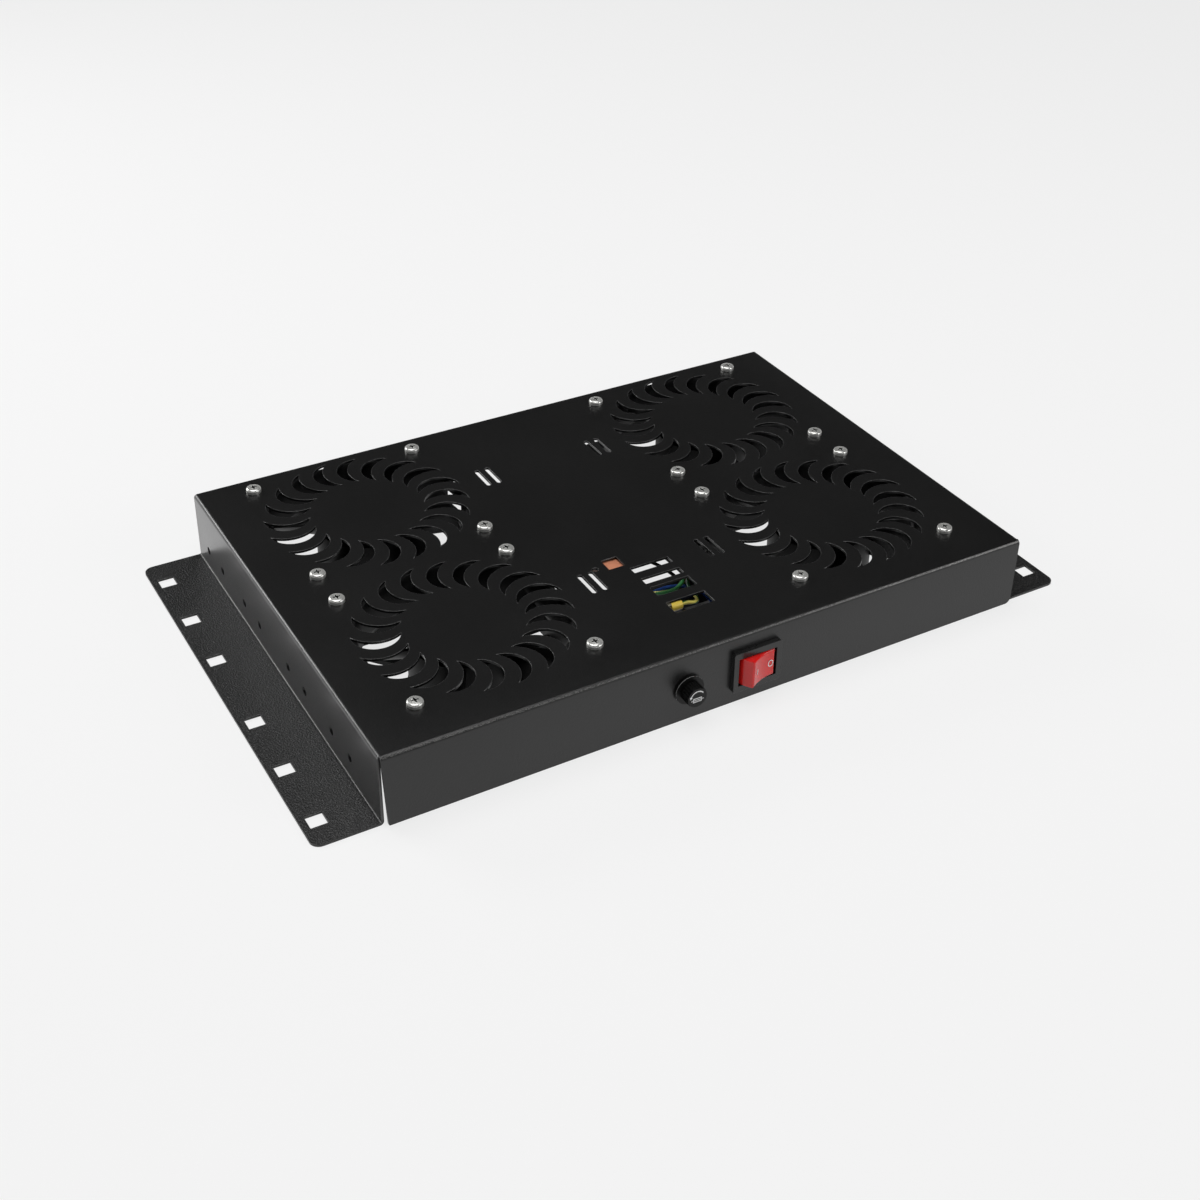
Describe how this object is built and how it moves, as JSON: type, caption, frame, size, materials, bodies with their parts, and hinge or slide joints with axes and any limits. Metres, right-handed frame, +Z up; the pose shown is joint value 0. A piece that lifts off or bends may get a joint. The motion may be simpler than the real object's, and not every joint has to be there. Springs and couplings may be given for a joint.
{
  "type": "rack fan tray",
  "caption": "Black rack tray with axial fans under a crescent-vented plate, a red rocker switch and a panel fuse holder.",
  "frame": {"origin": "centre of the whole part's footprint, on the plane of the flange undersides it rests on", "axes": "+X along the width to the right, +Y from the front panel to the open back, +Z up"},
  "size_m": [0.4826, 0.2914, 0.0472],
  "materials": {
    "powder_black": "satin black powder coat with a fine texture",
    "fan_casting": "black painted die casting",
    "impeller_black": "moulded black plastic",
    "rotor_steel": "bare steel",
    "shaft_steel": "ground steel",
    "bearing_steel": "polished bearing steel",
    "stator_core": "laminated steel with varnished copper winding",
    "zinc": "bright zinc plate",
    "switch_black": "moulded black plastic, semi-gloss",
    "rocker_red": "glossy red plastic with white marks",
    "tinned_brass": "tinned brass",
    "boot_blue": "blue crimp insulation",
    "fuse_black": "moulded black phenolic",
    "fuse_glass": "clear glass",
    "nickel": "nickel plate",
    "terminal_orange": "orange polyamide",
    "sleeve_yellow": "yellow crimp sleeve",
    "box_black": "moulded black plastic",
    "wire_green_yellow": "green and yellow insulation",
    "wire_blue": "blue insulation",
    "wire_brown": "brown insulation",
    "lead_black": "black twin lead"
  },
  "bodies": {
    "tray": {"chassis_tray": "powder_black", "fan_a_frame": "fan_casting", "fan_a_bearings": "bearing_steel", "fan_a_stator": "stator_core", "fan_a_lead": "lead_black", "fan_b_frame": "fan_casting", "fan_b_bearings": "bearing_steel", "fan_b_stator": "stator_core", "fan_b_lead": "lead_black", "fan_c_frame": "fan_casting", "fan_c_bearings": "bearing_steel", "fan_c_stator": "stator_core", "fan_c_lead": "lead_black", "fan_d_frame": "fan_casting", "fan_d_bearings": "bearing_steel", "fan_d_stator": "stator_core", "fan_d_lead": "lead_black", "fan_screws": "zinc", "fan_nuts": "zinc", "switch_body": "switch_black", "switch_tabs": "tinned_brass", "switch_boots": "boot_blue", "fuse_holder_body": "fuse_black", "fuse_holder_nut": "fuse_black", "fuse_holder_tabs": "tinned_brass", "terminal_block": "terminal_orange", "terminal_clamp_screws": "zinc", "terminal_block_nuts": "zinc", "earth_ring_terminal": "tinned_brass", "earth_crimp_sleeve": "sleeve_yellow", "earth_nut": "zinc", "junction_box": "box_black", "junction_box_nuts": "zinc", "junction_box_lid": "box_black", "junction_box_screws": "zinc", "wire_earth_stud": "wire_green_yellow", "wire_earth_block": "wire_green_yellow", "wire_neutral": "wire_blue", "wire_live": "wire_brown", "wire_fused": "wire_brown", "wire_switched": "wire_brown", "wire_return": "wire_blue"},
    "impeller_a": {"fan_a_impeller": "impeller_black", "fan_a_rotor": "rotor_steel", "fan_a_shaft": "shaft_steel"},
    "impeller_b": {"fan_b_impeller": "impeller_black", "fan_b_rotor": "rotor_steel", "fan_b_shaft": "shaft_steel"},
    "impeller_c": {"fan_c_impeller": "impeller_black", "fan_c_rotor": "rotor_steel", "fan_c_shaft": "shaft_steel"},
    "impeller_d": {"fan_d_impeller": "impeller_black", "fan_d_rotor": "rotor_steel", "fan_d_shaft": "shaft_steel"},
    "rocker": {"switch_rocker": "rocker_red"},
    "fuse_carrier": {"fuse_glass": "fuse_glass", "fuse_end_caps": "nickel"},
    "fuse_cap": {"fuse_holder_cap": "fuse_black"}
  },
  "joints": [
    {"name": "fan_a_spin", "type": "hinge", "parent": "tray", "child": "impeller_a", "pos_m": [-0.1194, 0.0799, 0.02], "axis": [0, 0, 1], "continuous": true},
    {"name": "fan_b_spin", "type": "hinge", "parent": "tray", "child": "impeller_b", "pos_m": [-0.1194, -0.0531, 0.02], "axis": [0, 0, 1], "continuous": true},
    {"name": "fan_c_spin", "type": "hinge", "parent": "tray", "child": "impeller_c", "pos_m": [0.1194, 0.0799, 0.02], "axis": [0, 0, 1], "continuous": true},
    {"name": "fan_d_spin", "type": "hinge", "parent": "tray", "child": "impeller_d", "pos_m": [0.1194, -0.0531, 0.02], "axis": [0, 0, 1], "continuous": true},
    {"name": "rocker_tilt", "type": "hinge", "parent": "tray", "child": "rocker", "pos_m": [0.0167, -0.1353, 0.0215], "axis": [0, 0, -1], "range_deg": [0, 36]},
    {"name": "fuse_pull", "type": "slide", "parent": "tray", "child": "fuse_carrier", "axis": [0, -1, 0], "range_m": [0, 0.03]},
    {"name": "fuse_cap_turn", "type": "hinge", "parent": "fuse_carrier", "child": "fuse_cap", "pos_m": [-0.0263, -0.1363, 0.0206], "axis": [0, 1, 0], "range_deg": [0, 90]}
  ]
}
